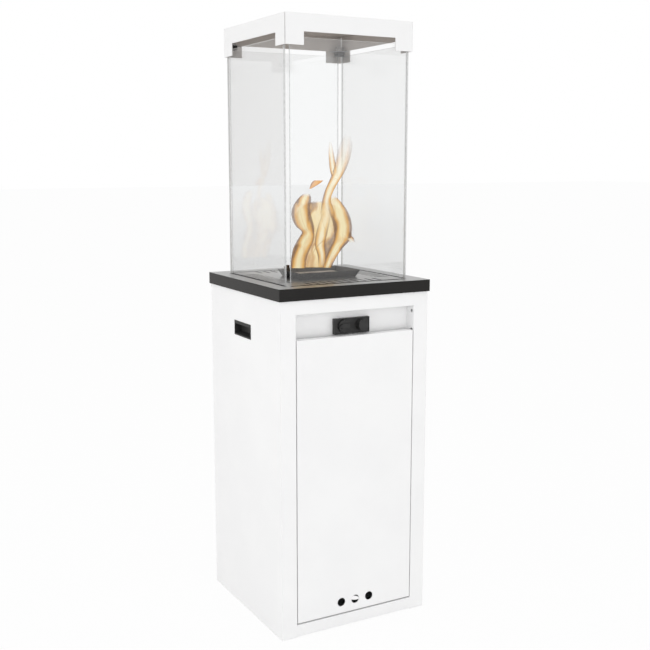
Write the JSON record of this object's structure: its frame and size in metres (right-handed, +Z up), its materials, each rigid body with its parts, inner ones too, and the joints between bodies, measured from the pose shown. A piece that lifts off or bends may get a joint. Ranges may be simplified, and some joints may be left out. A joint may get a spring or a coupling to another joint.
{
  "type": "patio gas heater",
  "caption": "Square patio gas heater: cylinder cabinet with a door, recessed knob and igniter, slotted deck with a burner bowl, and a clear glass chamber under a folded cap.",
  "frame": {"origin": "centre of the footprint on the floor", "axes": "+Z up, -Y towards the door and controls, +X to the right of someone who stands in front facing the heater"},
  "size_m": [0.418, 0.418, 1.485],
  "materials": {
    "white_paint": "fine satin powder coat, white",
    "black_paint": "heat-proof black enamel, satin",
    "black_enamel": "matt black enamel",
    "black_plastic": "fine-grained black plastic",
    "glass_clear": "clear toughened glass",
    "grey_rubber": "heat-proof rubber",
    "zinc_steel": "zinc-plated sheet",
    "bright_steel": "plain bright steel",
    "stainless": "heat-tinted stainless steel",
    "brass_fittings": "turned brass",
    "aluminium_pipe": "drawn aluminium",
    "dark_parts": "moulded plastic case"
  },
  "bodies": {
    "cabinet": {"back_panel": "white_paint", "back_screws": "bright_steel", "base_plate": "zinc_steel", "bottom_rail": "white_paint", "burner": "stainless", "burner_bowl": "black_enamel", "button_spring": "bright_steel", "carry_cup_left": "black_plastic", "carry_cup_right": "black_plastic", "clamp_screws": "bright_steel", "control_bezel": "black_plastic", "control_strip": "white_paint", "corner_gussets": "zinc_steel", "deck_tray": "black_paint", "door_magnet": "dark_parts", "floor_glides": "grey_rubber", "gas_inlet": "brass_fittings", "gas_valve": "brass_fittings", "glass_back": "glass_clear", "glass_channel_back": "zinc_steel", "glass_channel_front": "zinc_steel", "glass_channel_left": "zinc_steel", "glass_channel_right": "zinc_steel", "glass_front": "glass_clear", "glass_gasket_back": "grey_rubber", "glass_gasket_front": "grey_rubber", "glass_gasket_left": "grey_rubber", "glass_gasket_right": "grey_rubber", "glass_left": "glass_clear", "glass_pads": "grey_rubber", "glass_right": "glass_clear", "heat_shield": "zinc_steel", "hinge_arms": "zinc_steel", "igniter_body": "dark_parts", "ignition_electrode": "stainless", "injector": "brass_fittings", "knob_spring": "bright_steel", "pilot_hood": "stainless", "pilot_pipe": "aluminium_pipe", "roof_cap": "white_paint", "side_panel_left": "white_paint", "side_panel_right": "white_paint", "supply_pipe": "aluminium_pipe", "thermocouple": "stainless", "top_rail": "white_paint", "valve_nut": "bright_steel", "venturi": "stainless"},
    "door": {"door_panel": "white_paint", "door_stiffener": "zinc_steel", "door_hinge_ears": "zinc_steel", "door_hinge_pins": "bright_steel", "strike_plate": "zinc_steel"},
    "knob_plunger": {"knob_washer": "bright_steel"},
    "knob": {"gas_knob": "black_plastic", "knob_spindle": "brass_fittings"},
    "button": {"igniter_button": "black_plastic"}
  },
  "joints": [
    {"name": "door_swing", "type": "hinge", "parent": "cabinet", "child": "door", "pos_m": [0.1425, -0.196, 0.39], "axis": [0, 0, 1], "range_deg": [0, 95]},
    {"name": "knob_push", "type": "slide", "parent": "cabinet", "child": "knob_plunger", "axis": [0, 1, 0], "range_m": [0, 0.004], "stiffness_N_per_m": 600, "springref_m": -0.003, "deforming": ["knob_spring"]},
    {"name": "knob_turn", "type": "hinge", "parent": "knob_plunger", "child": "knob", "pos_m": [-0.024, -0.18, 0.762], "axis": [0, -1, 0], "range_deg": [0, 180]},
    {"name": "button_press", "type": "slide", "parent": "cabinet", "child": "button", "axis": [0, 1, 0], "range_m": [0, 0.005], "stiffness_N_per_m": 400, "springref_m": -0.003, "deforming": ["button_spring"]}
  ]
}
